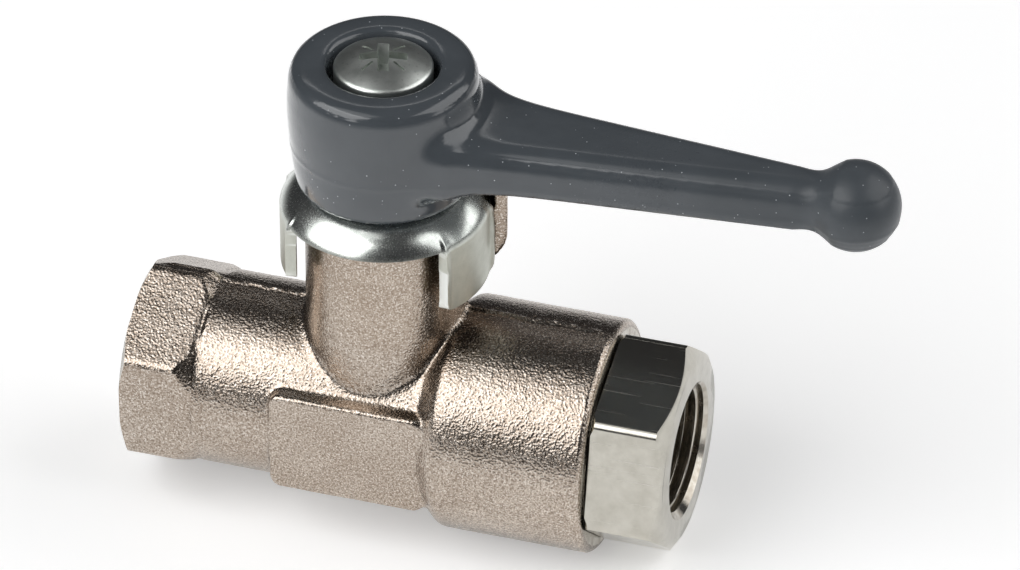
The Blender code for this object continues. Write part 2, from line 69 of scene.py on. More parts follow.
# Flow axis
INLET_X = BODY_LOW.x
BODY_END_X = BODY_HIGH.x
OUTLET_X = CONNECTOR_HIGH.x
HEX_START_X = BODY_END_X + 0.3
NOSE_START_X = CONNECTOR_LOW.x
BARREL_R = -BODY_LOW.z
RUN_R = 12.0
BORE_R = 5.0
CAVITY_R = 9.7
CAVITY_START_X = -4.4
POCKET_R = 8.5
POCKET_X = 11.4
SPIGOT_BORE_R = 12.0
SPIGOT_START_X = 17.2
SPIGOT_R = 11.8
NOSE_R = 9.5
SPIGOT_SEAL_X = 14.4
SHOULDER_X = (7.06, 9.7)
INLET_HEX_FLATS = 23.5
OUTLET_HEX_FLATS = 24.0
OUTLET_HEX_TURN = math.radians(-12.2)
INLET_HEX_END_X = -22.3
PAD_X = (-11.4, 8.5)
PAD_Z = (-7.6, 6.3)
PAD_Y = 12.3

# O-rings, by their section's radius, and half the width of their grooves
O_RING_R = 0.59
GROOVE_HALF = 1.2

# G 3/8 thread
THREAD_PITCH = 1.337
THREAD_MINOR_R = 7.5
THREAD_MAJOR_R = 8.33
PORT_DEPTH = 12.5
PORT_MOUTH_R = 8.55
PORT_MOUTH_DEPTH = 1.05

# Stem axis
NECK_R = 9.75
NECK_TOP_Z = 30.2
NECK_BLEND_Z = (13.0, 16.0)  # where the run's finish turns into the neck's
LUG_R = 14.75
LUG_TOP_Z = BODY_HIGH.z
LUG_BOTTOM_Z = 19.9
LUG_ARC = (math.radians(13.5), math.radians(81.5))
HUB_R = -LEVER_LOW.x
HUB_TOP_Z = LEVER_HIGH.z
HUB_BOTTOM_Z = LEVER_LOW.z
RECESS_FLOOR_Z = 45.0
PARTING_Z = 40.5
KNOB_X = 58.0
KNOB_R = LEVER_HIGH.x - KNOB_X
HANDLED_X = (13.0, 54.0)  # along the lever, from glossy to dulled by the hand
PLATE_TOP_Z = PLATE_HIGH.z
PLATE_R = PLATE_HIGH.x
PLATE_THICK = 1.3
PLATE_RIM_Z = 29.05
STEM_R = 5.0
STEM_SEAL_Z = {"lower": 15.7, "upper": 20.3}
DRIVE_R = 4.9
FLAT_X = 4.0
DRIVE_GAP = 0.2
CROSS_TURN = math.radians(17)


# ---------------------------------------------------------------- mesh helpers

def add(name, mesh):
    obj = bpy.data.objects.new(name, mesh)
    bpy.context.scene.collection.objects.link(obj)
    return obj


def solid(name, bm):
    """An object from a bmesh, which is used up."""
    mesh = bpy.data.meshes.new(name)
    bm.to_mesh(mesh)
    bm.free()
    return add(name, mesh)


def drop(obj):
    bpy.data.objects.remove(obj, do_unlink=True)


def settle(obj):
    """Applies an object's modifiers."""
    bpy.context.view_layer.update()
    mesh = bpy.data.meshes.new_from_object(obj.evaluated_get(bpy.context.evaluated_depsgraph_get()))
    obj.modifiers.clear()
    obj.data = mesh
    return obj


def finished(obj, look):
    """Gives a whole object one material."""
    obj.data.materials.clear()
    obj.data.materials.append(look)
    return obj


def turned(name, profile, axis="Z", ring=False):
    """A profile of (radius, height) points, down its outer side from the top, turned about an axis."""
    mesh = bpy.data.meshes.new(name)
    points = [(radius, 0, height) for radius, height in profile]
    edges = [(i, i + 1) for i in range(len(points) - 1)]
    if ring:
        edges.append((len(points) - 1, 0))
    mesh.from_pydata(points, edges, [])
    obj = add(name, mesh)
    screw = obj.modifiers.new("turn", "SCREW")
    screw.steps = screw.render_steps = FINE
    screw.use_merge_vertices = True
    screw.merge_threshold = TINY
    settle(obj)
    if axis == "X":
        obj.data.transform(Matrix.Rotation(math.pi / 2, 4, "Y"))
    return obj


def cylinder(name, radius, low, high, axis="Z"):
    return turned(name, [(0, high), (radius, high), (radius, low), (0, low)], axis)


def block(name, low, high, bevel=0.0):
    bm = bmesh.new()
    bmesh.ops.create_cube(bm, size=1)
    size = [b - a for a, b in zip(low, high)]
    centre = [(a + b) / 2 for a, b in zip(low, high)]
    bmesh.ops.transform(bm, matrix=Matrix.Translation(centre) @ Matrix.Diagonal((*size, 1)), verts=bm.verts)
    if bevel:
        bmesh.ops.bevel(bm, geom=bm.edges, offset=bevel, segments=3, profile=0.5, affect="EDGES")
    return solid(name, bm)


def prism(name, outline, low, high):
    """A closed outline of (x, y) points, counter-clockwise, between two heights."""
    bm = bmesh.new()
    face = bm.faces.new([bm.verts.new((x, y, low)) for x, y in outline])
    raised = bmesh.ops.extrude_face_region(bm, geom=[face])["geom"]
    lifted = [v for v in raised if isinstance(v, bmesh.types.BMVert)]
    bmesh.ops.translate(bm, verts=lifted, vec=(0, 0, high - low))
    bmesh.ops.recalc_face_normals(bm, faces=bm.faces)
    return solid(name, bm)


def hexagon(name, flats, low, high, turn=0.0):
    """A hexagonal bar along X, with a corner straight up, or turned from there towards -Y."""
    corner_r = flats / math.sqrt(3)
    stand = Matrix.Translation(((low + high) / 2, 0, 0)) @ Matrix.Rotation(math.pi / 2 + turn, 4, "X")
    bm = bmesh.new()
    bmesh.ops.create_cone(
        bm, cap_ends=True, segments=6, radius1=corner_r, radius2=corner_r, depth=high - low,
        matrix=stand @ Matrix.Rotation(math.pi / 2, 4, "Y"),
    )
    return solid(name, bm)


def arc(radius, start, end, count):
    angles = [start + (end - start) * i / (count - 1) for i in range(count)]
    return [(radius * math.cos(a), radius * math.sin(a)) for a in angles]


def moved(points, x, y):
    return [(x + px, y + py) for px, py in points]


def sector(inner, outer, start, end):
    count = 40
    return arc(outer, start, end, count) + arc(inner, end, start, count)


def double_d(name, radius, flat, low, high):
    half = math.acos(flat / radius)
    outline = arc(radius, half, math.pi - half, 40) + arc(radius, math.pi + half, 2 * math.pi - half, 40)
    return prism(name, outline, low, high)


def combine(obj, other, operation="DIFFERENCE"):
    """A Boolean between closed meshes. New faces keep the other mesh's materials."""
    made = obj.modifiers.new("combine", "BOOLEAN")
    made.solver = "MANIFOLD"
    made.operation = operation
    made.object = other
    made.material_mode = "TRANSFER"
    settle(obj)
    drop(other)
    return obj


def melt(name, blanks, voxel, passes):
    """Joins overlapping blanks into one even skin, with its edges rounded by the smoothing."""
    bm = bmesh.new()
    for blank in blanks:
        bm.from_mesh(blank.data)
        drop(blank)
    obj = solid(name, bm)
    remesh = obj.modifiers.new("skin", "REMESH")
    remesh.mode = "VOXEL"
    remesh.voxel_size = voxel
    settle(obj)
    return soften(obj, passes)


def bevelled(obj, width, over_degrees, segments=4):
    """Rounds the edges that turn by more than an angle."""
    edge = obj.modifiers.new("edge", "BEVEL")
    edge.width = width
    edge.segments = segments
    edge.limit_method = "ANGLE"
    edge.angle_limit = math.radians(over_degrees)
    return settle(obj)


def soften(obj, passes, weight=None):
    """Smooths a skin, all over or by weight(point) from 0 to 1."""
    smooth = obj.modifiers.new("soften", "SMOOTH")
    smooth.factor = 0.5
    smooth.iterations = passes
    if weight:
        group = obj.vertex_groups.new(name="soften")
        for vertex in obj.data.vertices:
            amount = weight(vertex.co)
            if amount > 0:
                group.add([vertex.index], amount, "REPLACE")
        smooth.vertex_group = group.name
    settle(obj)
    obj.vertex_groups.clear()
    return obj


def push(obj, depth):
    """Moves each point along its normal by depth(point, normal)."""
    mesh = obj.data
    normals = [v.normal.copy() for v in mesh.vertices]
    for vertex, normal in zip(mesh.vertices, normals):
        vertex.co += normal * depth(vertex.co, normal)
    mesh.update()
    return obj


def near(value, target, reach):
    """1 at the target, falling smoothly to 0 at reach from it."""
    t = min(1.0, abs(value - target) / reach)
    return (1 - t * t) ** 2


def threaded_rod(name, minor, major, pitch, start, end):
    """A rod along X with a rounded helical ridge, as a closed mesh."""
    rows_per_turn = 12
    columns = 96
    flank, root = 2.1, 0.55
    rows = int((end - start) / pitch * rows_per_turn) + rows_per_turn
    bm = bmesh.new()
    grid = []
    for i in range(rows + rows_per_turn + 1):
        phase = i % rows_per_turn / rows_per_turn
        ridge = min(1.0, max(0.0, flank * abs(2 * phase - 1) - root))
        radius = minor + (major - minor) * ridge
        row = []
        for j in range(columns):
            turn = j / columns
            x = start + pitch * (i / rows_per_turn + turn - 1)
            y, z = radius * math.cos(turn * math.tau), radius * math.sin(turn * math.tau)
            row.append(bm.verts.new((x, y, z)))
        grid.append(row)

    def at(i, j):
        return grid[i][j] if j < columns else grid[i + rows_per_turn][0]

    for i in range(rows):
        for j in range(columns):
            bm.faces.new((at(i, j), at(i + 1, j), at(i + 1, j + 1), at(i, j + 1)))
    for i, out in ((0, False), (rows, True)):
        loop = [at(i, j) for j in range(columns)]
        loop += [grid[i + k][0] for k in range(rows_per_turn, 0, -1)]
        centre = bm.verts.new((loop[0].co.x + pitch / 2, 0, 0))
        for a, b in zip(loop, loop[1:] + loop[:1]):
            bm.faces.new((a, b, centre) if out else (b, a, centre))
    loose = [v for v in bm.verts if not v.link_faces]
    bmesh.ops.delete(bm, geom=loose, context="VERTS")
    bmesh.ops.recalc_face_normals(bm, faces=bm.faces)
    return solid(name, bm)


def port_cutter(name, face_x, towards):
    """A threaded port with a countersunk mouth at face_x; towards is +1 or -1 out of the valve."""
    def at(depth):
        return face_x - towards * depth

    spare = 1.5
    low, high = sorted((at(-PAST), at(PORT_DEPTH - 1.2)))
    rod = threaded_rod(name, THREAD_MINOR_R, THREAD_MAJOR_R, THREAD_PITCH, low - spare, high + spare)
    combine(rod, cylinder("rod_trim", THREAD_MAJOR_R + PAST, low, high, "X"), "INTERSECT")
    points = [
        (0, at(-PAST)), (PORT_MOUTH_R + 0.02, at(-PAST)), (PORT_MOUTH_R, at(0)),
        (THREAD_MINOR_R, at(PORT_MOUTH_DEPTH)), (THREAD_MINOR_R, at(PORT_DEPTH)), (0, at(PORT_DEPTH)),
    ]
    if towards < 0:
        points.reverse()
    return combine(rod, turned("port_mouth", points, "X"), "UNION")


def place(obj, node, body, look):
    """Brings a piece to metres, gives it its look, and lets it stand for its CAD node."""
    obj.data.transform(Matrix.Scale(MM, 4))
    obj.data.shade_smooth()
    obj.data.set_sharp_from_angle(angle=CREASE)
    shading = obj.modifiers.new("shading", "WEIGHTED_NORMAL")
    shading.keep_sharp = True
    settle(obj)
    if not [m for m in obj.data.materials if m]:
        obj.data.materials.clear()
        obj.data.materials.append(look)
    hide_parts(node)
    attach(obj, body)
    return obj


# ---------------------------------------------------------------- materials

class Look:
    """A small builder for a material's node tree, on the object's own coordinates in millimetres."""

    def __init__(self, name, colour, metallic, roughness):
        self.material = bpy.data.materials.new(name)
        self.material.use_nodes = True
        self.tree = self.material.node_tree
        self.shader = self.tree.nodes["Principled BSDF"]
        self.shader.inputs["Metallic"].default_value = metallic
        self.shader.inputs["Roughness"].default_value = roughness
        self.shader.inputs["Base Color"].default_value = (*colour, 1)
        coords = self.node("ShaderNodeTexCoord")
        scaled = self.node("ShaderNodeVectorMath", operation="SCALE")
        scaled.inputs["Scale"].default_value = 1 / MM
        self.link(coords.outputs["Object"], scaled.inputs[0])
        self.at = scaled.outputs[0]

    def node(self, kind, **settings):
        made = self.tree.nodes.new(kind)
        for key, value in settings.items():
            setattr(made, key, value)
        return made

    def link(self, source, target):
        self.tree.links.new(source, target)

    def stretched(self, scale):
        """The coordinates scaled by (x, y, z), for a texture drawn out along one direction."""
        mapping = self.node("ShaderNodeMapping")
        mapping.inputs["Scale"].default_value = scale
        self.link(self.at, mapping.inputs["Vector"])
        return mapping.outputs[0]

    def along(self, axis):
        """One of the coordinates, in millimetres."""
        split = self.node("ShaderNodeSeparateXYZ")
        self.link(self.at, split.inputs[0])
        return split.outputs[axis]

    def noise(self, scale, detail=3.0, roughness=0.55, at=None):
        made = self.node("ShaderNodeTexNoise")
        made.inputs["Scale"].default_value = scale
        made.inputs["Detail"].default_value = detail
        made.inputs["Roughness"].default_value = roughness
        self.link(at or self.at, made.inputs["Vector"])
        return made.outputs["Fac"]

    def cells(self, scale):
        made = self.node("ShaderNodeTexVoronoi")
        made.inputs["Scale"].default_value = scale
        self.link(self.at, made.inputs["Vector"])
        return made.outputs["Distance"]

    def span(self, value, low, high, to_low=0.0, to_high=1.0):
        made = self.node("ShaderNodeMapRange")
        made.inputs["From Min"].default_value = low
        made.inputs["From Max"].default_value = high
        made.inputs["To Min"].default_value = to_low
        made.inputs["To Max"].default_value = to_high
        self.link(value, made.inputs["Value"])
        return made.outputs[0]

    def math(self, operation, a, b):
        made = self.node("ShaderNodeMath", operation=operation)
        for socket, value in zip(made.inputs, (a, b)):
            if isinstance(value, (int, float)):
                socket.default_value = value
            else:
                self.link(value, socket)
        return made.outputs[0]

    def mix(self, factor, a, b):
        """Mixes two colours, each a tuple or a socket."""
        made = self.node("ShaderNodeMix", data_type="RGBA")
        self.link(factor, made.inputs["Factor"])
        for socket, value in ((made.inputs[6], a), (made.inputs[7], b)):
            if isinstance(value, tuple):
                socket.default_value = (*value, 1)
            else:
                self.link(value, socket)
        return made.outputs[2]

    def pointed(self, low, high):
        """0 in hollows to 1 on edges, from the surface's own curvature."""
        geometry = self.node("ShaderNodeNewGeometry")
        return self.span(geometry.outputs["Pointiness"], low, high)

    def colour(self, value):
        self.link(value, self.shader.inputs["Base Color"])

    def rough(self, value):
        self.link(value, self.shader.inputs["Roughness"])

    def bump(self, *layers):
        """Bump from (height, strength, distance in mm) layers, the coarsest first."""
        normal = None
        for height, strength, distance in layers:
            made = self.node("ShaderNodeBump")
            made.inputs["Strength"].default_value = strength
            made.inputs["Distance"].default_value = distance * MM
            self.link(height, made.inputs["Height"])
            if normal:
                self.link(normal, made.inputs["Normal"])
            normal = made.outputs[0]
        self.link(normal, self.shader.inputs["Normal"])


def forged_nickel():
    """Nickel over a shot-blasted brass forging: pebbly, warm, with shade painted into its corners, calmer on
    the neck.
    """
    look = Look("forged_nickel", (0.40, 0.33, 0.27), 1.0, 0.34)
    broad = look.noise(0.12, 2.0)
    patch = look.noise(0.9, 3.0)
    on_neck = look.span(look.along("Z"), *NECK_BLEND_Z)
    calm = look.span(on_neck, 0.0, 1.0, 1.0, 0.55)
    pebble = look.noise(3.6, 0.4, 0.5)
    grain = look.noise(5.0, 1.0, 0.6)
    base = look.mix(look.span(broad, 0.35, 0.65), (0.42, 0.35, 0.29), (0.51, 0.44, 0.375))
    base = look.mix(look.span(patch, 0.4, 0.75, 0.0, 0.4), base, (0.34, 0.28, 0.23))
    base = look.mix(look.span(pebble, 0.56, 0.36, 0.0, 0.7), base, (0.20, 0.15, 0.11))
    # Ambient occlusion darkens the colour in corners and crevices: painted shade.
    corner = look.node("ShaderNodeAmbientOcclusion", samples=8)
    corner.inputs["Distance"].default_value = 8.0 * MM
    base = look.mix(look.span(corner.outputs["AO"], 0.90, 0.40, 0.0, 0.9), base, (0.10, 0.075, 0.055))
    base = look.mix(look.math("MULTIPLY", on_neck, 0.3), base, (0.34, 0.265, 0.20))
    worn = look.mix(look.pointed(0.52, 0.60), base, (0.55, 0.48, 0.41))
    look.colour(look.mix(look.span(grain, 0.53, 0.68, 0.0, 0.7), worn, (0.86, 0.80, 0.73)))
    look.rough(look.span(grain, 0.3, 0.7, 0.18, 0.28))
    look.bump((look.math("MULTIPLY", pebble, calm), 1.0, 0.063), (grain, 0.6, 0.03))
    return look.material


def bright_nickel():
    """Nickel over machined brass: bright, with fine tool lines along the bar and a few scratches."""
    look = Look("bright_nickel", (0.56, 0.535, 0.475), 1.0, 0.15)
    lines = look.noise(1.0, 3.0, 0.6, look.stretched((0.05, 9.0, 9.0)))
    marks = look.noise(1.0, 0.0, 0.5, look.stretched((0.07, 6.0, 6.0)))
    scratch = look.span(marks, 0.73, 0.80)
    haze = look.noise(0.45, 4.0, 0.6)
    base = look.mix(look.span(haze, 0.35, 0.7), (0.54, 0.52, 0.465), (0.46, 0.44, 0.385))
    look.colour(look.mix(scratch, base, (0.62, 0.60, 0.54)))
    look.rough(look.math("ADD", look.span(haze, 0.3, 0.7, 0.14, 0.22), look.math("MULTIPLY", scratch, 0.2)))
    look.bump((look.noise(0.5, 2.0), 0.10, 0.10), (lines, 0.05, 0.02), (scratch, 0.12, 0.01))
    return look.material


def thread_nickel():
    """The turned inside of a port: nickel with fine rings round the axis."""
    look = Look("turned_nickel", (0.66, 0.62, 0.55), 1.0, 0.2)
    rings = look.noise(1.0, 2.0, 0.5, look.stretched((11.0, 0.4, 0.4)))
    stain = look.noise(0.8, 3.0)
    look.colour(look.mix(look.span(stain, 0.35, 0.7), (0.58, 0.55, 0.49), (0.42, 0.375, 0.315)))
    look.rough(look.span(stain, 0.3, 0.7, 0.14, 0.28))
    look.bump((rings, 0.25, 0.02))
    return look.material


def zinc_plate(name, smooth, dull):
    """Bright zinc on steel: pale, faintly green, with press marks and dull spots, and duller on the tabs."""
    look = Look(name, (0.70, 0.73, 0.70), 1.0, smooth)
    mottle = look.noise(0.7, 4.0, 0.6)
    fine = look.noise(6.0, 3.0, 0.6)
    spots = look.span(look.noise(2.6, 2.0), 0.62, 0.72)
    base = look.mix(look.span(mottle, 0.35, 0.68), (0.74, 0.77, 0.735), (0.60, 0.635, 0.60))
    base = look.mix(look.math("MULTIPLY", spots, 0.5), base, (0.42, 0.44, 0.41))
    tab = look.span(look.along("Z"), PLATE_RIM_Z + 0.55, PLATE_RIM_Z - 0.45)
    base = look.mix(look.math("MULTIPLY", tab, 0.7), base, (0.50, 0.50, 0.43))
    look.colour(look.mix(look.pointed(0.53, 0.62), base, (0.86, 0.88, 0.85)))
    blotch = look.span(mottle, 0.3, 0.7, 0.14, 0.26)
    look.rough(look.math("ADD", look.span(fine, 0.3, 0.7, smooth, dull), look.math("MULTIPLY", tab, blotch)))
    look.bump((mottle, 0.12, 0.08), (fine, 0.12, 0.02))
    return look.material


def grey_coating():
    """A glossy slate grey coating: slightly wavy, with tiny dust nibs, and duller towards the knob."""
    look = Look("grey_coating", (0.040, 0.047, 0.054), 0.0, 0.2)
    look.shader.inputs["Specular IOR Level"].default_value = 0.4
    look.shader.inputs["Coat Roughness"].default_value = 0.12
    broad = look.noise(0.15, 2.0)
    nib = look.span(look.cells(0.85), 0.075, 0.045)
    base = look.mix(look.span(broad, 0.35, 0.65), (0.061, 0.070, 0.079), (0.070, 0.080, 0.090))
    worn = look.mix(look.pointed(0.54, 0.64), base, (0.065, 0.075, 0.085))
    look.colour(look.mix(nib, worn, (0.50, 0.53, 0.56)))
    handled = look.span(look.along("X"), *HANDLED_X)
    gloss = look.span(look.noise(1.6, 3.0), 0.3, 0.7, 0.12, 0.20)
    look.rough(look.math("ADD", gloss, look.math("MULTIPLY", handled, 0.24)))
    look.link(look.span(handled, 0.0, 1.0, 0.65, 0.04), look.shader.inputs["Coat Weight"])
    look.bump((look.noise(0.45, 2.0), 0.10, 0.25), (look.noise(3.5, 2.0), 0.05, 0.03), (nib, 0.4, 0.03))
    return look.material


def chrome():
    look = Look("ball_chrome", (0.78, 0.78, 0.79), 1.0, 0.06)
    haze = look.noise(0.5, 3.0)
    look.colour(look.mix(look.span(haze, 0.35, 0.7), (0.79, 0.79, 0.80), (0.70, 0.70, 0.72)))
    look.rough(look.span(haze, 0.3, 0.7, 0.04, 0.11))
    look.bump((look.noise(8.0, 2.0), 0.05, 0.005))
    return look.material


def turned_brass():
    look = Look("turned_brass", (0.66, 0.56, 0.38), 1.0, 0.25)
    rings = look.noise(1.0, 2.0, 0.5, look.stretched((0.5, 0.5, 12.0)))
    tint = look.noise(0.6, 3.0)
    look.colour(look.mix(look.span(tint, 0.35, 0.7), (0.68, 0.58, 0.40), (0.55, 0.46, 0.31)))
    look.rough(look.span(rings, 0.3, 0.7, 0.18, 0.34))
    look.bump((rings, 0.3, 0.015))
    return look.material


def moulded(name, light, dark, roughness):
    """PTFE or acetal: waxy, faintly clouded, with a fine turned or moulded grain."""
    look = Look(name, light, 0.0, roughness)
    cloud = look.noise(0.5, 3.0)
    grain = look.noise(7.0, 2.0)
    look.colour(look.mix(look.span(cloud, 0.35, 0.7), light, dark))
    look.rough(look.span(grain, 0.3, 0.7, roughness - 0.06, roughness + 0.08))
    look.bump((cloud, 0.1, 0.05), (grain, 0.2, 0.01))
    return look.material


def rubber():
    look = Look("nitrile_rubber", (0.018, 0.018, 0.019), 0.0, 0.5)
    bloom = look.noise(1.2, 3.0)
    look.colour(look.mix(look.span(bloom, 0.4, 0.75), (0.016, 0.016, 0.017), (0.035, 0.035, 0.037)))
    look.rough(look.span(bloom, 0.3, 0.7, 0.40, 0.58))
    look.bump((look.noise(9.0, 2.0), 0.2, 0.01))
    return look.material


# ---------------------------------------------------------------- housing

def blasted(coarse, fine):
    """Depth, inwards only, of a shot-blasted skin: bigger dimples on the run than on the neck."""
    big_mm, small_mm, wave_mm = 0.5, 0.33, 5.0
    wave_deep = 0.05
    elsewhere = Vector((31.7, 11.3, 5.9))

    def depth(point, normal):
        on_neck = near(math.hypot(point.x, point.y), NECK_R, 2.5) if point.z > RUN_R else 0
        big = noise.noise(point / big_mm)
        small = noise.noise(point / small_mm + elsewhere)
        wave = noise.noise(point / wave_mm)
        size = coarse * (1 - 0.55 * on_neck)
        return -size * (0.6 - 0.55 * big) - fine * (0.5 - 0.5 * small) - wave_deep * (1 - wave)

    return depth


def parting_line(obj):
    """The small step that the forging dies leave along the top and the bottom, with a flash ridge on top."""
    reach = 1.2
    step_half, step_deep = 0.18, 0.12
    ridge_y, ridge_half, ridge_high = 1.3, 0.38, 0.42

    def height(point, normal):
        on_top = point.z > 0
        wander = 0.35 * noise.noise(Vector((point.x / 4.0, 0, 3.0 if on_top else 9.0)))
        across = point.y - wander - (ridge_y if on_top else 0)
        if abs(across) > reach or math.hypot(point.y, point.z) > BARREL_R + 1 or abs(point.z) < 8:
            return 0
        from_ends = min(BODY_END_X - 1.5 - point.x, point.x - INLET_X - 1)
        fade = min(1.0, max(0.0, from_ends / 2))
        step = 0.5 + 0.5 * math.tanh(across / step_half)
        ridge = ridge_high * math.exp(-(across / ridge_half) ** 2) if on_top else 0
        return fade * (ridge - step_deep * step * (1 - abs(across) / reach))

    return push(obj, height)


def body_blanks():
    """The forging before its edges melt: the run and barrel, the neck, the hexagon, the pads and the lug."""
    hex_back_x = INLET_HEX_END_X + PAST
    core_r, core_x = RUN_R - 1.5, INLET_HEX_END_X - 3
    run = [
        (0, BODY_END_X + PAST), (BARREL_R, BODY_END_X + PAST), (BARREL_R, SHOULDER_X[1]),
        (RUN_R, SHOULDER_X[0]), (RUN_R, hex_back_x), (core_r, hex_back_x), (core_r, core_x), (0, core_x),
    ]
    clear_r = INLET_HEX_FLATS / math.sqrt(3) + 0.3
    slope_x = (INLET_HEX_END_X - 1.9, INLET_HEX_END_X + 1.8)
    slope = [
        (0, slope_x[1]), (RUN_R - 0.5, slope_x[1]), (clear_r, slope_x[0]), (clear_r, INLET_X - 2 * PAST),
        (0, INLET_X - 2 * PAST),
    ]
    bar = hexagon("hex_blank", INLET_HEX_FLATS, INLET_X - PAST, hex_back_x)
    bevelled(bar, width=0.8, over_degrees=55)
    return [
        turned("run_blank", run, "X"),
        cylinder("neck_blank", NECK_R, 0, NECK_TOP_Z + PAST),
        combine(bar, turned("hex_slope", slope, "X"), "INTERSECT"),
        pad_blank(),
        lug_blank(),
    ]


def pad_blank():
    """The two flats, made as one block through the body, with rounded corners."""
    pad = block("pad_blank", (PAD_X[0], -PAD_Y, PAD_Z[0]), (PAD_X[1], PAD_Y, PAD_Z[1]))
    bm = bmesh.new()
    bm.from_mesh(pad.data)
    corners = [e for e in bm.edges if abs(e.verts[0].co.y - e.verts[1].co.y) > PAD_Y]
    bmesh.ops.bevel(bm, geom=corners, offset=1.6, segments=6, profile=0.5, affect="EDGES")
    bm.to_mesh(pad.data)
    bm.free()
    return bevelled(pad, width=0.6, over_degrees=45)


def lug_blank():
    """The stop lug: a sector that grows out of the neck and stands up beside the stop plate."""
    root_r = NECK_R - PAST
    ledge_r, ledge_z = PLATE_R + 0.35, 28.5
    foot_r = 5.0
    foot = moved(arc(foot_r, 0, -math.pi / 2, 12), LUG_R - foot_r, LUG_BOTTOM_Z + foot_r)
    profile = [
        (ledge_r, LUG_TOP_Z), (LUG_R - 0.3, LUG_TOP_Z), (LUG_R, LUG_TOP_Z - 0.4), *foot,
        (root_r, LUG_BOTTOM_Z - PAST), (root_r, ledge_z), (ledge_r, ledge_z),
    ]
    lug = turned("lug_ring", profile, ring=True)
    wedge = sector(root_r - PAST, LUG_R + PAST, *LUG_ARC)
    return combine(lug, prism("lug_wedge", wedge, LUG_BOTTOM_Z - 2 * PAST, LUG_TOP_Z + PAST), "INTERSECT")


def neck_root(point):
    """1 where the neck, the run and the pads grow into each other."""
    low_z, high_z, reach = 3, 20, 2.8
    if not low_z <= point.z <= high_z:
        return 0
    off_neck = abs(math.hypot(point.x, point.y) - NECK_R)
    off_run = abs(math.hypot(point.y, point.z) - RUN_R)
    return max(0.0, 1 - max(off_neck, off_run) / reach)


def shoulder_edge(point):
    """1 on the barrel's end next to the neck, which the forging rounds over."""
    reach = 2.6
    if not RUN_R - 0.5 <= math.hypot(point.y, point.z) <= BARREL_R + 1:
        return 0
    return max(0.0, 1 - abs(point.x - SHOULDER_X[1]) / reach)


def build_body(skin, machined):
    body = melt("body_forging", body_blanks(), voxel=0.2, passes=14)
    soften(body, passes=60, weight=neck_root)
    soften(body, passes=60, weight=shoulder_edge)
    parting_line(body)
    push(body, blasted(coarse=0.035, fine=0.015))
    finished(body, skin)
    combine(body, faced_ends(skin, machined), "INTERSECT")
    for cutter in body_cutters():
        combine(body, finished(cutter, machined))
    return place(body, "body", "housing", skin)


def faced_ends(skin, machined):
    """The envelope that the lathe leaves: the two faced ends of the run, with their chamfers."""
    rim_r = 1.1
    rim = moved(arc(rim_r, math.pi / 2, 0.2, 10), BARREL_R - rim_r, BODY_END_X - rim_r)
    rim_x = BODY_END_X - rim_r - PAST
    face_r, wide = 11.9, 40.0
    cone = math.tan(math.radians(30)) * (wide - face_r)
    profile = [
        (0, BODY_END_X), *rim, (BARREL_R + PAST, rim_x), (wide, rim_x), (wide, INLET_X + cone),
        (face_r, INLET_X), (0, INLET_X),
    ]
    ends = finished(turned("faced_ends", profile, "X"), skin)
    ends.data.materials.append(machined)
    for face in ends.data.polygons:
        face.material_index = 1 if abs(face.normal.x) > 0.999 or face.center.x < 0 else 0
    return ends


def body_cutters():
    """What is machined out of the forging: the neck's face, the bores, the stem's hole and the port."""
    mouth_x = BODY_END_X + PAST
    cavity_end_x = SPIGOT_START_X - 0.4
    port_floor_x = INLET_X + PORT_DEPTH - PAST
    bores = [
        (0, mouth_x), (SPIGOT_BORE_R, mouth_x), (SPIGOT_BORE_R, cavity_end_x), (CAVITY_R, cavity_end_x),
        (CAVITY_R, CAVITY_START_X), (POCKET_R, CAVITY_START_X), (POCKET_R, -POCKET_X), (BORE_R, -POCKET_X),
        (BORE_R, port_floor_x), (0, port_floor_x),
    ]
    top_z = NECK_TOP_Z + PAST
    bush_r, bush_z = 6.6, 25.2
    hole_r = STEM_R + 0.15
    collar_r, collar_z = 6.9, 12.6
    stem_hole = [
        (0, top_z), (bush_r, top_z), (bush_r, bush_z), (hole_r, bush_z), (hole_r, collar_z),
        (collar_r, collar_z), (collar_r, 0), (0, 0),
    ]
    return [
        cylinder("neck_face", PLATE_R, NECK_TOP_Z, NECK_TOP_Z + 5 * PAST),
        turned("body_bores", bores, "X"),
        turned("stem_hole", stem_hole),
        port_cutter("inlet_port", INLET_X, -1),
    ]


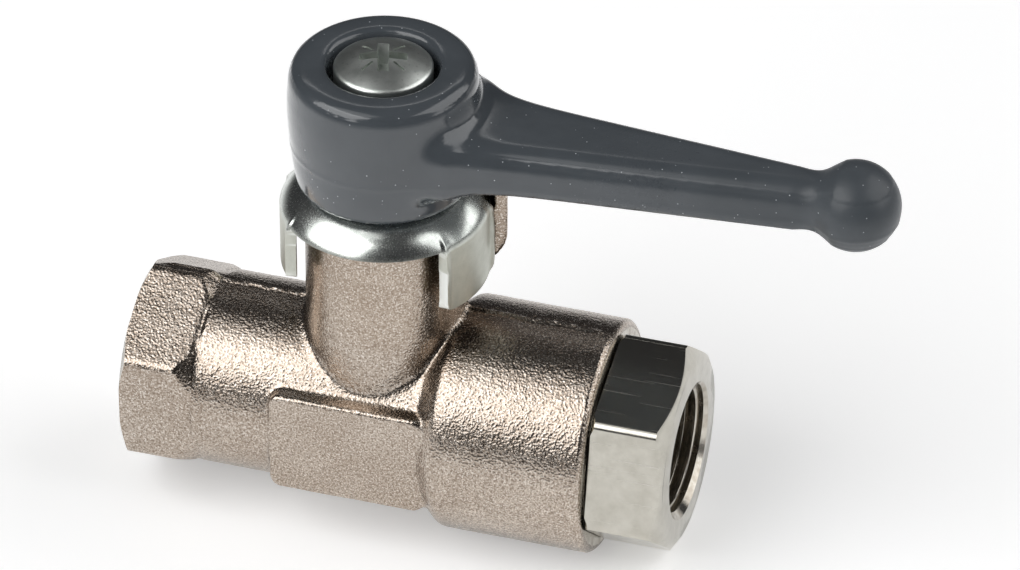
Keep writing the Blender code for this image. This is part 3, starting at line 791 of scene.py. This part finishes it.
def build_connector(bright, turned_look):
    """A hexagon milled on round bar, with a threaded port, and the spigot that screws into the body."""
    bar_r, face_r, back = 13.55, 11.4, 0.35
    cone = math.tan(math.radians(30)) * (bar_r - face_r)
    blank = [
        (0, OUTLET_X), (face_r, OUTLET_X), (bar_r, OUTLET_X - cone), (bar_r, HEX_START_X + back),
        (bar_r - back, HEX_START_X), (0, HEX_START_X),
    ]
    ends = (HEX_START_X - PAST, OUTLET_X + PAST)
    connector = finished(hexagon("connector_hexagon", OUTLET_HEX_FLATS, *ends, OUTLET_HEX_TURN), bright)
    combine(connector, finished(turned("bar_stock", blank, "X"), bright), "INTERSECT")
    undercut_r, groove_r = SPIGOT_R - 0.7, 8.35
    groove_low, groove_high = SPIGOT_SEAL_X - GROOVE_HALF, SPIGOT_SEAL_X + GROOVE_HALF
    spigot = [
        (0, HEX_START_X + PAST), (undercut_r, HEX_START_X + PAST), (undercut_r, HEX_START_X - 1.4),
        (SPIGOT_R, HEX_START_X - 2.0), (SPIGOT_R, SPIGOT_START_X + 0.8), (SPIGOT_R - 0.8, SPIGOT_START_X),
        (NOSE_R, SPIGOT_START_X), (NOSE_R, groove_high), (groove_r, groove_high), (groove_r, groove_low),
        (NOSE_R, groove_low), (NOSE_R, NOSE_START_X + 0.4), (NOSE_R - 0.4, NOSE_START_X), (0, NOSE_START_X),
    ]
    combine(connector, finished(turned("spigot", spigot, "X"), turned_look), "UNION")
    bore_end_x = OUTLET_X - PORT_DEPTH + PAST
    inside = [
        (0, bore_end_x), (BORE_R, bore_end_x), (BORE_R, POCKET_X), (POCKET_R, POCKET_X),
        (POCKET_R, NOSE_START_X - PAST), (0, NOSE_START_X - PAST),
    ]
    combine(connector, finished(turned("connector_bore", inside, "X"), turned_look))
    combine(connector, finished(port_cutter("outlet_port", OUTLET_X, 1), turned_look))
    return place(connector, "end_connector", "housing", bright)


def ring_section(centre_r, centre_h, section_r, count=24):
    turns = [-math.tau * i / count for i in range(count)]
    return [(centre_r + section_r * math.cos(t), centre_h + section_r * math.sin(t)) for t in turns]


def washer_section(inner, outer, low, high):
    """A flat washer's section, with its four edges broken."""
    edge = 0.1
    return [
        (outer - edge, high), (outer, high - edge), (outer, low + edge), (outer - edge, low),
        (inner + edge, low), (inner, low + edge), (inner, high - edge), (inner + edge, high),
    ]


def build_seat(side, name, ptfe, nitrile):
    """A seat cupped to the ball, and the O-ring behind it; side is -1 at the inlet and 1 at the outlet."""
    face_r = BALL_R + 0.15
    bore_r, cup_r, step_r, outer_r, edge = 5.2, 7.9, 6.55, 8.3, 0.15
    step_x, back_x = 9.4, 11.2
    cup = [(y, x) for x, y in arc(face_r, math.asin(bore_r / face_r), math.asin(cup_r / face_r), 24)]
    lip_x = cup[-1][1]
    back = [
        (outer_r - edge, lip_x), (outer_r, lip_x + edge), (outer_r, step_x), (step_r, step_x),
        (step_r, back_x), (bore_r, back_x),
    ]
    section = [(radius, side * x) for radius, x in cup + back]
    seat = turned(f"{name}_seat_ring", section if side < 0 else section[::-1], "X", ring=True)
    place(seat, f"{name}_seat", "housing", ptfe)
    section = ring_section((step_r + POCKET_R) / 2, side * (step_x + POCKET_X) / 2, 0.74)
    seal = turned(f"{name}_seat_seal", section, "X", ring=True)
    place(seal, f"{name}_seat_o_ring", "housing", nitrile)


def build_bush(acetal):
    """The stem's guide: a sleeve down the neck's bore, with a flange on top of the neck."""
    top_z = PLATE_TOP_Z - PLATE_THICK - 0.2
    flange_z, foot_z = NECK_TOP_Z + 0.2, 25.4
    flange_r, sleeve_r, bore_r = 8.6, 6.4, 5.2
    bush = [
        (flange_r - 0.1, top_z), (flange_r, top_z - 0.1), (flange_r, flange_z), (sleeve_r, flange_z),
        (sleeve_r, foot_z + 0.3), (sleeve_r - 0.3, foot_z), (bore_r + 0.2, foot_z), (bore_r, foot_z + 0.2),
        (bore_r, top_z - 0.2), (bore_r + 0.2, top_z),
    ]
    place(turned("guide_sleeve", bush, ring=True), "stem_guide_bush", "housing", acetal)


def build_seals(ptfe, acetal, nitrile):
    for side, name in ((-1, "inlet"), (1, "outlet")):
        build_seat(side, name, ptfe, nitrile)
    section = ring_section(NOSE_R - 0.47, SPIGOT_SEAL_X, O_RING_R)
    seal = turned("connector_seal", section, "X", ring=True)
    place(seal, "connector_o_ring", "housing", nitrile)
    thrust = turned("thrust_ring", washer_section(5.2, 6.6, 11.75, 12.45), ring=True)
    place(thrust, "stem_thrust_washer", "housing", ptfe)
    build_bush(acetal)


# ---------------------------------------------------------------- ball and stem

def build_ball(look):
    bm = bmesh.new()
    bmesh.ops.create_uvsphere(bm, u_segments=128, v_segments=72, radius=BALL_R)
    ball = finished(solid("bored_ball", bm), look)
    bevel = 0.35
    mouth_r = BORE_R + bevel
    end_x = math.sqrt(BALL_R ** 2 - mouth_r ** 2)
    out_x = BALL_R + PAST
    bore = [
        (0, out_x), (mouth_r, out_x), (mouth_r, end_x), (BORE_R, end_x - bevel), (BORE_R, -end_x + bevel),
        (mouth_r, -end_x), (mouth_r, -out_x), (0, -out_x),
    ]
    combine(ball, finished(turned("ball_bore", bore, "X"), look))
    slot_half, slot_z = 2.25, 6.1
    slot = block("ball_slot", (-slot_half, -out_x, slot_z), (slot_half, out_x, out_x))
    combine(ball, finished(slot, look))
    return place(ball, "ball", "ball", look)


def build_stem(look, nitrile):
    """The stem: a tang for the ball's slot, a collar, two O-ring grooves, and a tapped double-D end."""
    groove_r, collar_r = 3.72, 6.6
    top_z, collar_z, foot_z = 31.15, 11.6, 9.7
    shaft = [(0, top_z), (STEM_R - 0.2, top_z), (STEM_R, top_z - 0.2)]
    for seal_z in sorted(STEM_SEAL_Z.values(), reverse=True):
        low, high = seal_z - GROOVE_HALF, seal_z + GROOVE_HALF
        shaft += [(STEM_R, high), (groove_r, high), (groove_r, low), (STEM_R, low)]
    shaft += [
        (STEM_R, collar_z), (collar_r - 0.25, collar_z), (collar_r, collar_z - 0.25), (collar_r, foot_z),
        (0, foot_z),
    ]
    stem = finished(turned("turned_stem", shaft), look)
    tang_x, tang_y, tang_edge = 2.0, 3.9, 0.25
    tang = block("stem_tang", (-tang_x, -tang_y, STEM_LOW.z), (tang_x, tang_y, foot_z + PAST), tang_edge)
    combine(stem, finished(tang, look), "UNION")
    drive_z, tapping_r, tapping_z = 30.0, 3.15, 31.0
    combine(stem, finished(double_d("stem_drive", DRIVE_R, FLAT_X, drive_z, STEM_HIGH.z), look), "UNION")
    combine(stem, finished(cylinder("stem_tapping", tapping_r, tapping_z, STEM_HIGH.z + PAST), look))
    place(stem, "stem", "handle", look)
    for name, seal_z in STEM_SEAL_Z.items():
        seal = turned(f"stem_seal_{name}", ring_section(4.4, seal_z, O_RING_R), ring=True)
        place(seal, f"stem_o_ring_{name}", "handle", nitrile)


# ---------------------------------------------------------------- stop plate

TABS = (  # start, end, bottom
    (math.radians(-38), math.radians(12), PLATE_LOW.z),
    (math.radians(173), math.radians(223), 21.3),
)


def plate_sheet():
    """The stop plate's upper skin: the flat, the turned-down rim, and rows of points down each tab."""
    columns, tab_rows = 360, 20
    inner_r, last = 3.0, math.radians(26)
    dome_r = (PLATE_TOP_Z - PLATE_RIM_Z) / (1 - math.sin(last))
    flat_r = PLATE_R - dome_r * math.cos(last)
    dome = moved(arc(dome_r, math.pi / 2, last, 14), flat_r, PLATE_TOP_Z - dome_r)
    section = [(inner_r, PLATE_TOP_Z), ((inner_r + flat_r) / 2, PLATE_TOP_Z), *dome]
    bm = bmesh.new()
    sheet = []
    for j in range(columns):
        turn = math.tau * j / columns
        flare, bottom = tab_edge(turn)
        profile = []
        for radius, z in section:
            lift = flare * max(0.0, 1 - (z - PLATE_RIM_Z) / 1.6) if radius > flat_r else 0
            profile.append((radius + lift * 0.6, z))
        if bottom is not None:
            for i in range(1, tab_rows + 1):
                t = i / tab_rows
                z = PLATE_RIM_Z + (bottom - PLATE_RIM_Z) * t
                profile.append((PLATE_R + flare * min(1.0, 0.6 + t), z))
        sheet.append([bm.verts.new((r * math.cos(turn), r * math.sin(turn), z)) for r, z in profile])
    for a, b in zip(sheet, sheet[1:] + sheet[:1]):
        for i in range(min(len(a), len(b)) - 1):
            bm.faces.new((a[i], a[i + 1], b[i + 1], b[i]))
    bmesh.ops.recalc_face_normals(bm, faces=bm.faces)
    return bm


def build_stop_plate(look):
    """A pressed ring whose rim turns down, with two tabs bent down and curled at their cut edges."""
    plate = solid("plate_stamping", plate_sheet())
    if plate.data.polygons[0].normal.z < 0:
        plate.data.flip_normals()
    thick = plate.modifiers.new("thickness", "SOLIDIFY")
    thick.thickness = PLATE_THICK
    thick.offset = -1
    thick.use_even_offset = True
    finished(bevelled(plate, width=0.22, over_degrees=50, segments=3), look)
    size = (DRIVE_R + DRIVE_GAP, FLAT_X + DRIVE_GAP)
    hole = double_d("plate_hole", *size, PLATE_TOP_Z - 3 * PAST, PLATE_TOP_Z + 2 * PAST)
    combine(plate, finished(hole, look))
    return place(plate, "stop_plate", "handle", look)


def tab_edge(turn):
    """How far the tab at this angle curls out, and its lower end, or None between the tabs."""
    corner_r, curl, curl_reach = 1.6, 0.55, 0.65
    for start, end, bottom in TABS:
        angle = (turn - start) % math.tau
        if angle > end - start:
            continue
        edge = min(angle, end - start - angle) * PLATE_R
        flare = curl * math.exp(-(edge / curl_reach) ** 2)
        rounding = corner_r - math.sqrt(max(0.0, corner_r ** 2 - max(0.0, corner_r - edge) ** 2))
        return flare, bottom + rounding
    return 0.0, None


# ---------------------------------------------------------------- lever

def arm_blank():
    """The arm as a loft: wide and deep at the hub, and slim at the knob."""
    start_x, end_x = 4.0, 56.0
    taper_x = 5.0
    hub_w, knob_w, root_w = 7.8, 2.95, 1.8
    hub_t, knob_t, root_t = 2.95, 3.1, 1.1
    root_reach = 2.4
    stations = 40
    bm = bmesh.new()
    rings = []
    for i in range(stations + 1):
        x = start_x + (end_x - start_x) * i / stations
        t = (x - taper_x) / (end_x - taper_x)
        root = math.exp(-max(0.0, x - HUB_R + 1.0) / root_reach)
        half_w = hub_w + (knob_w - hub_w) * t + root_w * root
        half_t = hub_t + (knob_t - hub_t) * t + root_t * root
        rings.append([bm.verts.new((x, y, PARTING_Z + z)) for y, z in arm_section(half_w, half_t)])
    around = len(rings[0])
    for a, b in zip(rings, rings[1:]):
        for j in range(around):
            k = (j + 1) % around
            bm.faces.new((a[j], a[k], b[k], b[j]))
    bm.faces.new(rings[0][::-1])
    bm.faces.new(rings[-1])
    bmesh.ops.recalc_face_normals(bm, faces=bm.faces)
    return solid("arm_blank", bm)


def arm_section(half_w, half_t):
    """A rounded bar, with large edges above and small ones below, counter-clockwise."""
    high, low = min(2.8, 0.85 * half_w), 0.9
    quarter = math.pi / 2
    return [
        *moved(arc(high, 0, quarter, 12), half_w - high, half_t - high),
        *moved(arc(high, quarter, 2 * quarter, 12), high - half_w, half_t - high),
        *moved(arc(low, 2 * quarter, 3 * quarter, 8), low - half_w, low - half_t),
        *moved(arc(low, 3 * quarter, 4 * quarter, 8), half_w - low, low - half_t),
    ]


def knob_blank():
    bm = bmesh.new()
    bmesh.ops.create_uvsphere(bm, u_segments=96, v_segments=64, radius=KNOB_R)
    bmesh.ops.translate(bm, verts=bm.verts, vec=(KNOB_X, 0, PARTING_Z))
    return solid("knob_blank", bm)


def hub_blank():
    """The hub: slightly barrelled, with a rounded top edge and a round recess for the screw's head."""
    top_r, edge_r = 11.4, 2.0
    foot_r, foot_edge_r = 10.7, 0.5
    recess_r, mouth_r = 6.6, 7.05
    top = moved(arc(edge_r, math.pi / 2, 0.1, 10), top_r - edge_r, HUB_TOP_Z - edge_r)
    side = [(HUB_R - 0.02, 45.0), (HUB_R, 43.0), (HUB_R - 0.1, PARTING_Z), (11.1, 36.0)]
    foot = moved(arc(foot_edge_r, 0, -math.pi / 2, 4), foot_r - foot_edge_r, HUB_BOTTOM_Z + foot_edge_r)
    recess = [
        (0, RECESS_FLOOR_Z), (recess_r, RECESS_FLOOR_Z), (recess_r, HUB_TOP_Z - 0.7), (mouth_r, HUB_TOP_Z),
    ]
    return turned("hub_blank", [*recess, *top, *side, *foot, (0, HUB_BOTTOM_Z)])


def arm_root(point):
    """1 where the arm grows out of the hub, and where it meets the knob."""
    hub_reach, knob_reach = 5.0, 2.5
    low_z, high_z = 35.5, 46.8
    off_hub = abs(math.hypot(point.x, point.y) - HUB_R)
    at_hub = 1 - off_hub / hub_reach if point.x > 4 and low_z < point.z < high_z else 0
    off_knob = abs(math.hypot(point.x - KNOB_X, point.y, point.z - PARTING_Z) - KNOB_R)
    past_neck = max(0.0, point.x - KNOB_X + 3)
    at_knob = 1 - (off_knob + past_neck * 2) / knob_reach if -8 < point.x - KNOB_X < -2 else 0
    return max(0.0, at_hub, at_knob)


def build_lever(look):
    lever = melt("lever_casting", [hub_blank(), arm_blank(), knob_blank()], voxel=0.3, passes=14)
    soften(lever, passes=140, weight=arm_root)
    push(lever, casting_line)
    finished(lever, look)
    size = (DRIVE_R + DRIVE_GAP, FLAT_X + DRIVE_GAP)
    socket = double_d("lever_socket", *size, HUB_BOTTOM_Z - PAST, RECESS_FLOOR_Z + PAST)
    combine(lever, finished(socket, look))
    return place(lever, "lever_handle", "handle", look)


def casting_line(point, normal):
    """The faint line that the two halves of the mould leave round the lever."""
    height, half = 0.07, 0.3
    if abs(normal.z) > 0.6:
        return 0
    level = 38.6 if math.hypot(point.x, point.y) < HUB_R + 0.8 else PARTING_Z - 1.6
    wander = 0.12 * noise.noise(Vector((point.x / 6.0, point.y / 6.0, 4.0)))
    return height * math.exp(-((point.z - level - wander) / half) ** 2) - height


# ---------------------------------------------------------------- screw and washer

def build_washer(look):
    """The split spring washer under the screw's head."""
    inner, outer, low, high = 3.2, 5.9, 45.15, 46.0
    washer = finished(turned("spring_washer", washer_section(inner, outer, low, high), ring=True), look)
    slit = block("washer_slit", (0, -0.4, low - PAST), (outer + 1.1, 0.4, high + PAST))
    slit.data.transform(Matrix.Rotation(math.radians(100), 4, "Z"))
    combine(washer, finished(slit, look))
    return place(washer, "lock_washer", "handle", look)


def build_screw(look):
    """A pan head with a cross recess, four tick marks between its arms, and a threaded shank."""
    head_r, top_z = SCREW_HIGH.x, SCREW_HIGH.z
    dome_low_z, under_z = 48.75, 46.15
    shank_r, shank_end_z = 2.35, 33.9
    rise = top_z - dome_low_z
    dome_r = (head_r ** 2 + rise ** 2) / (2 * rise)
    dome = [(y, x + top_z - dome_r) for x, y in arc(dome_r, 0, math.asin((head_r - 0.25) / dome_r), 24)]
    rest = [
        (head_r, dome[-1][1] - 0.3), (head_r, under_z + 0.35), (head_r - 0.35, under_z), (shank_r, under_z),
        (shank_r, shank_end_z), (shank_r - 0.6, SCREW_LOW.z), (0, SCREW_LOW.z),
    ]
    screw = finished(turned("pan_head_screw", dome + rest), look)
    thread_r, pitch, thread_z, trim_z = 2.95, 1.0, (33.6, 45.0), (33.4, 45.6)
    thread = threaded_rod("screw_thread", shank_r, thread_r, pitch, *thread_z)
    combine(thread, cylinder("thread_trim", thread_r + 2.05, *trim_z, "X"), "INTERSECT")
    thread.data.transform(Matrix.Rotation(-math.pi / 2, 4, "Y"))
    combine(screw, finished(thread, look), "UNION")
    for quarter in range(2):
        combine(screw, finished(on_cross(cross_wing(top_z), quarter), look))
    tick_x, tick_half, tick_deep = (1.75, 3.55), 0.14, 0.75
    for quarter in range(4):
        tick = block("tick", (tick_x[0], -tick_half, top_z - tick_deep), (tick_x[1], tick_half, top_z + PAST))
        combine(screw, finished(on_cross(tick, quarter + 0.5), look))
    return place(screw, "handle_screw", "handle", look)


def on_cross(cutter, quarters):
    """Turns a cutter along X to its place in the cross recess, counted in quarter turns."""
    turn = Matrix.Rotation(CROSS_TURN, 4, "Z") @ Matrix.Rotation(quarters * math.pi / 2, 4, "Z")
    cutter.data.transform(turn)
    return cutter


def cross_wing(top_z):
    """One bar of the cross recess, narrower and shorter at its floor."""
    half_l, half_w, deep = 3.5, 0.75, 2.6
    wing = block("wing", (-half_l, -half_w, top_z - deep), (half_l, half_w, top_z + PAST))
    for vertex in wing.data.vertices:
        if vertex.co.z < top_z:
            vertex.co.x *= 0.50
            vertex.co.y *= 0.72
    return wing


# ---------------------------------------------------------------- stage, light and camera

def studio_paper():
    """Pale paper that glows a little, and falls off to grey well away from the valve."""
    near_mm, far_mm = 150.0, 340.0
    look = Look("studio_floor", (0.96, 0.96, 0.96), 0.0, 0.9)
    away = look.node("ShaderNodeVectorMath", operation="LENGTH")
    look.link(look.at, away.inputs[0])
    fade = look.node("ShaderNodeValToRGB")
    fade.color_ramp.interpolation = "EASE"
    for stop, level in zip(fade.color_ramp.elements, (0.35, 0.96)):
        stop.color = (level, level, level, 1)
    look.link(look.span(away.outputs["Value"], far_mm, near_mm), fade.inputs[0])
    look.colour(fade.outputs[0])
    look.link(fade.outputs[0], look.shader.inputs["Emission Color"])
    look.shader.inputs["Emission Strength"].default_value = 0.34
    return look.material


def build_stage():
    bm = bmesh.new()
    bmesh.ops.create_grid(bm, x_segments=2, y_segments=2, size=4.0)
    floor = solid("studio_floor", bm)
    gap = 0.0002
    floor.location.z = BODY_LOW.z * MM - gap
    floor.data.materials.append(studio_paper())


def softbox(name, direction, size, radiance):
    """A rectangular light of even radiance that looks at the valve from a direction."""
    distance = 0.8
    valve_middle = Vector((0.012, 0, 0.015))
    light = bpy.data.lights.new(name, "AREA")
    light.shape = "RECTANGLE"
    light.size, light.size_y = size
    light.energy = radiance * math.pi * size[0] * size[1]
    obj = bpy.data.objects.new(name, light)
    bpy.context.scene.collection.objects.link(obj)
    away = Vector(direction).normalized()
    obj.location = away * distance + valve_middle
    obj.rotation_euler = away.to_track_quat("Z", "Y").to_euler()
    obj.visible_camera = False


def build_light():
    world = bpy.data.worlds.new("studio")
    bpy.context.scene.world = world
    world.use_nodes = True
    world.node_tree.nodes["Background"].inputs["Color"].default_value = (0.035, 0.035, 0.037, 1)
    softbox("left_front", direction=(-0.53, -0.57, 0.62), size=(0.85, 0.68), radiance=2.8)
    softbox("overhead", direction=(-0.30, -0.27, 0.92), size=(0.5, 0.34), radiance=1.1)
    softbox("rear_strip", direction=(-0.24, 0.69, 0.69), size=(0.6, 0.03), radiance=2.0)
    softbox("right_rear", direction=(0.78, 0.24, 0.58), size=(0.95, 0.8), radiance=1.7)
    bpy.context.scene.view_settings.view_transform = "Standard"


def build_camera():
    """A long lens at the photograph's viewing angle: 17 degrees to the right and 36 above the front."""
    camera = bpy.data.cameras.new("camera")
    camera.lens = 280.03
    camera.sensor_width = 36
    camera.clip_start = 0.01
    obj = bpy.data.objects.new("camera", camera)
    bpy.context.scene.collection.objects.link(obj)
    right = Vector((0.9559, 0.2937, -0.0005)).normalized()
    back = Vector((0.2375, -0.7722, 0.5894))
    back = (back - right * back.dot(right)).normalized()
    axes = Matrix((right, back.cross(right), back)).transposed().to_4x4()
    obj.matrix_world = Matrix.Translation((0.24151, -0.73417, 0.58031)) @ axes
    bpy.context.scene.camera = obj


def main():
    forged = forged_nickel()
    bright = bright_nickel()
    inside = thread_nickel()
    zinc = zinc_plate("zinc_plate", 0.17, 0.29)
    screw_zinc = zinc_plate("zinc_screw", 0.30, 0.42)
    nitrile = rubber()
    ptfe = moulded("ptfe", (0.83, 0.83, 0.81), (0.74, 0.74, 0.72), 0.42)
    acetal = moulded("acetal", (0.78, 0.77, 0.72), (0.70, 0.69, 0.64), 0.38)
    build_camera()
    build_stage()
    build_light()
    build_body(forged, inside)
    build_connector(bright, inside)
    build_seals(ptfe, acetal, nitrile)
    build_ball(chrome())
    build_stem(turned_brass(), nitrile)
    build_stop_plate(zinc)
    build_lever(grey_coating())
    build_washer(screw_zinc)
    build_screw(screw_zinc)


main()
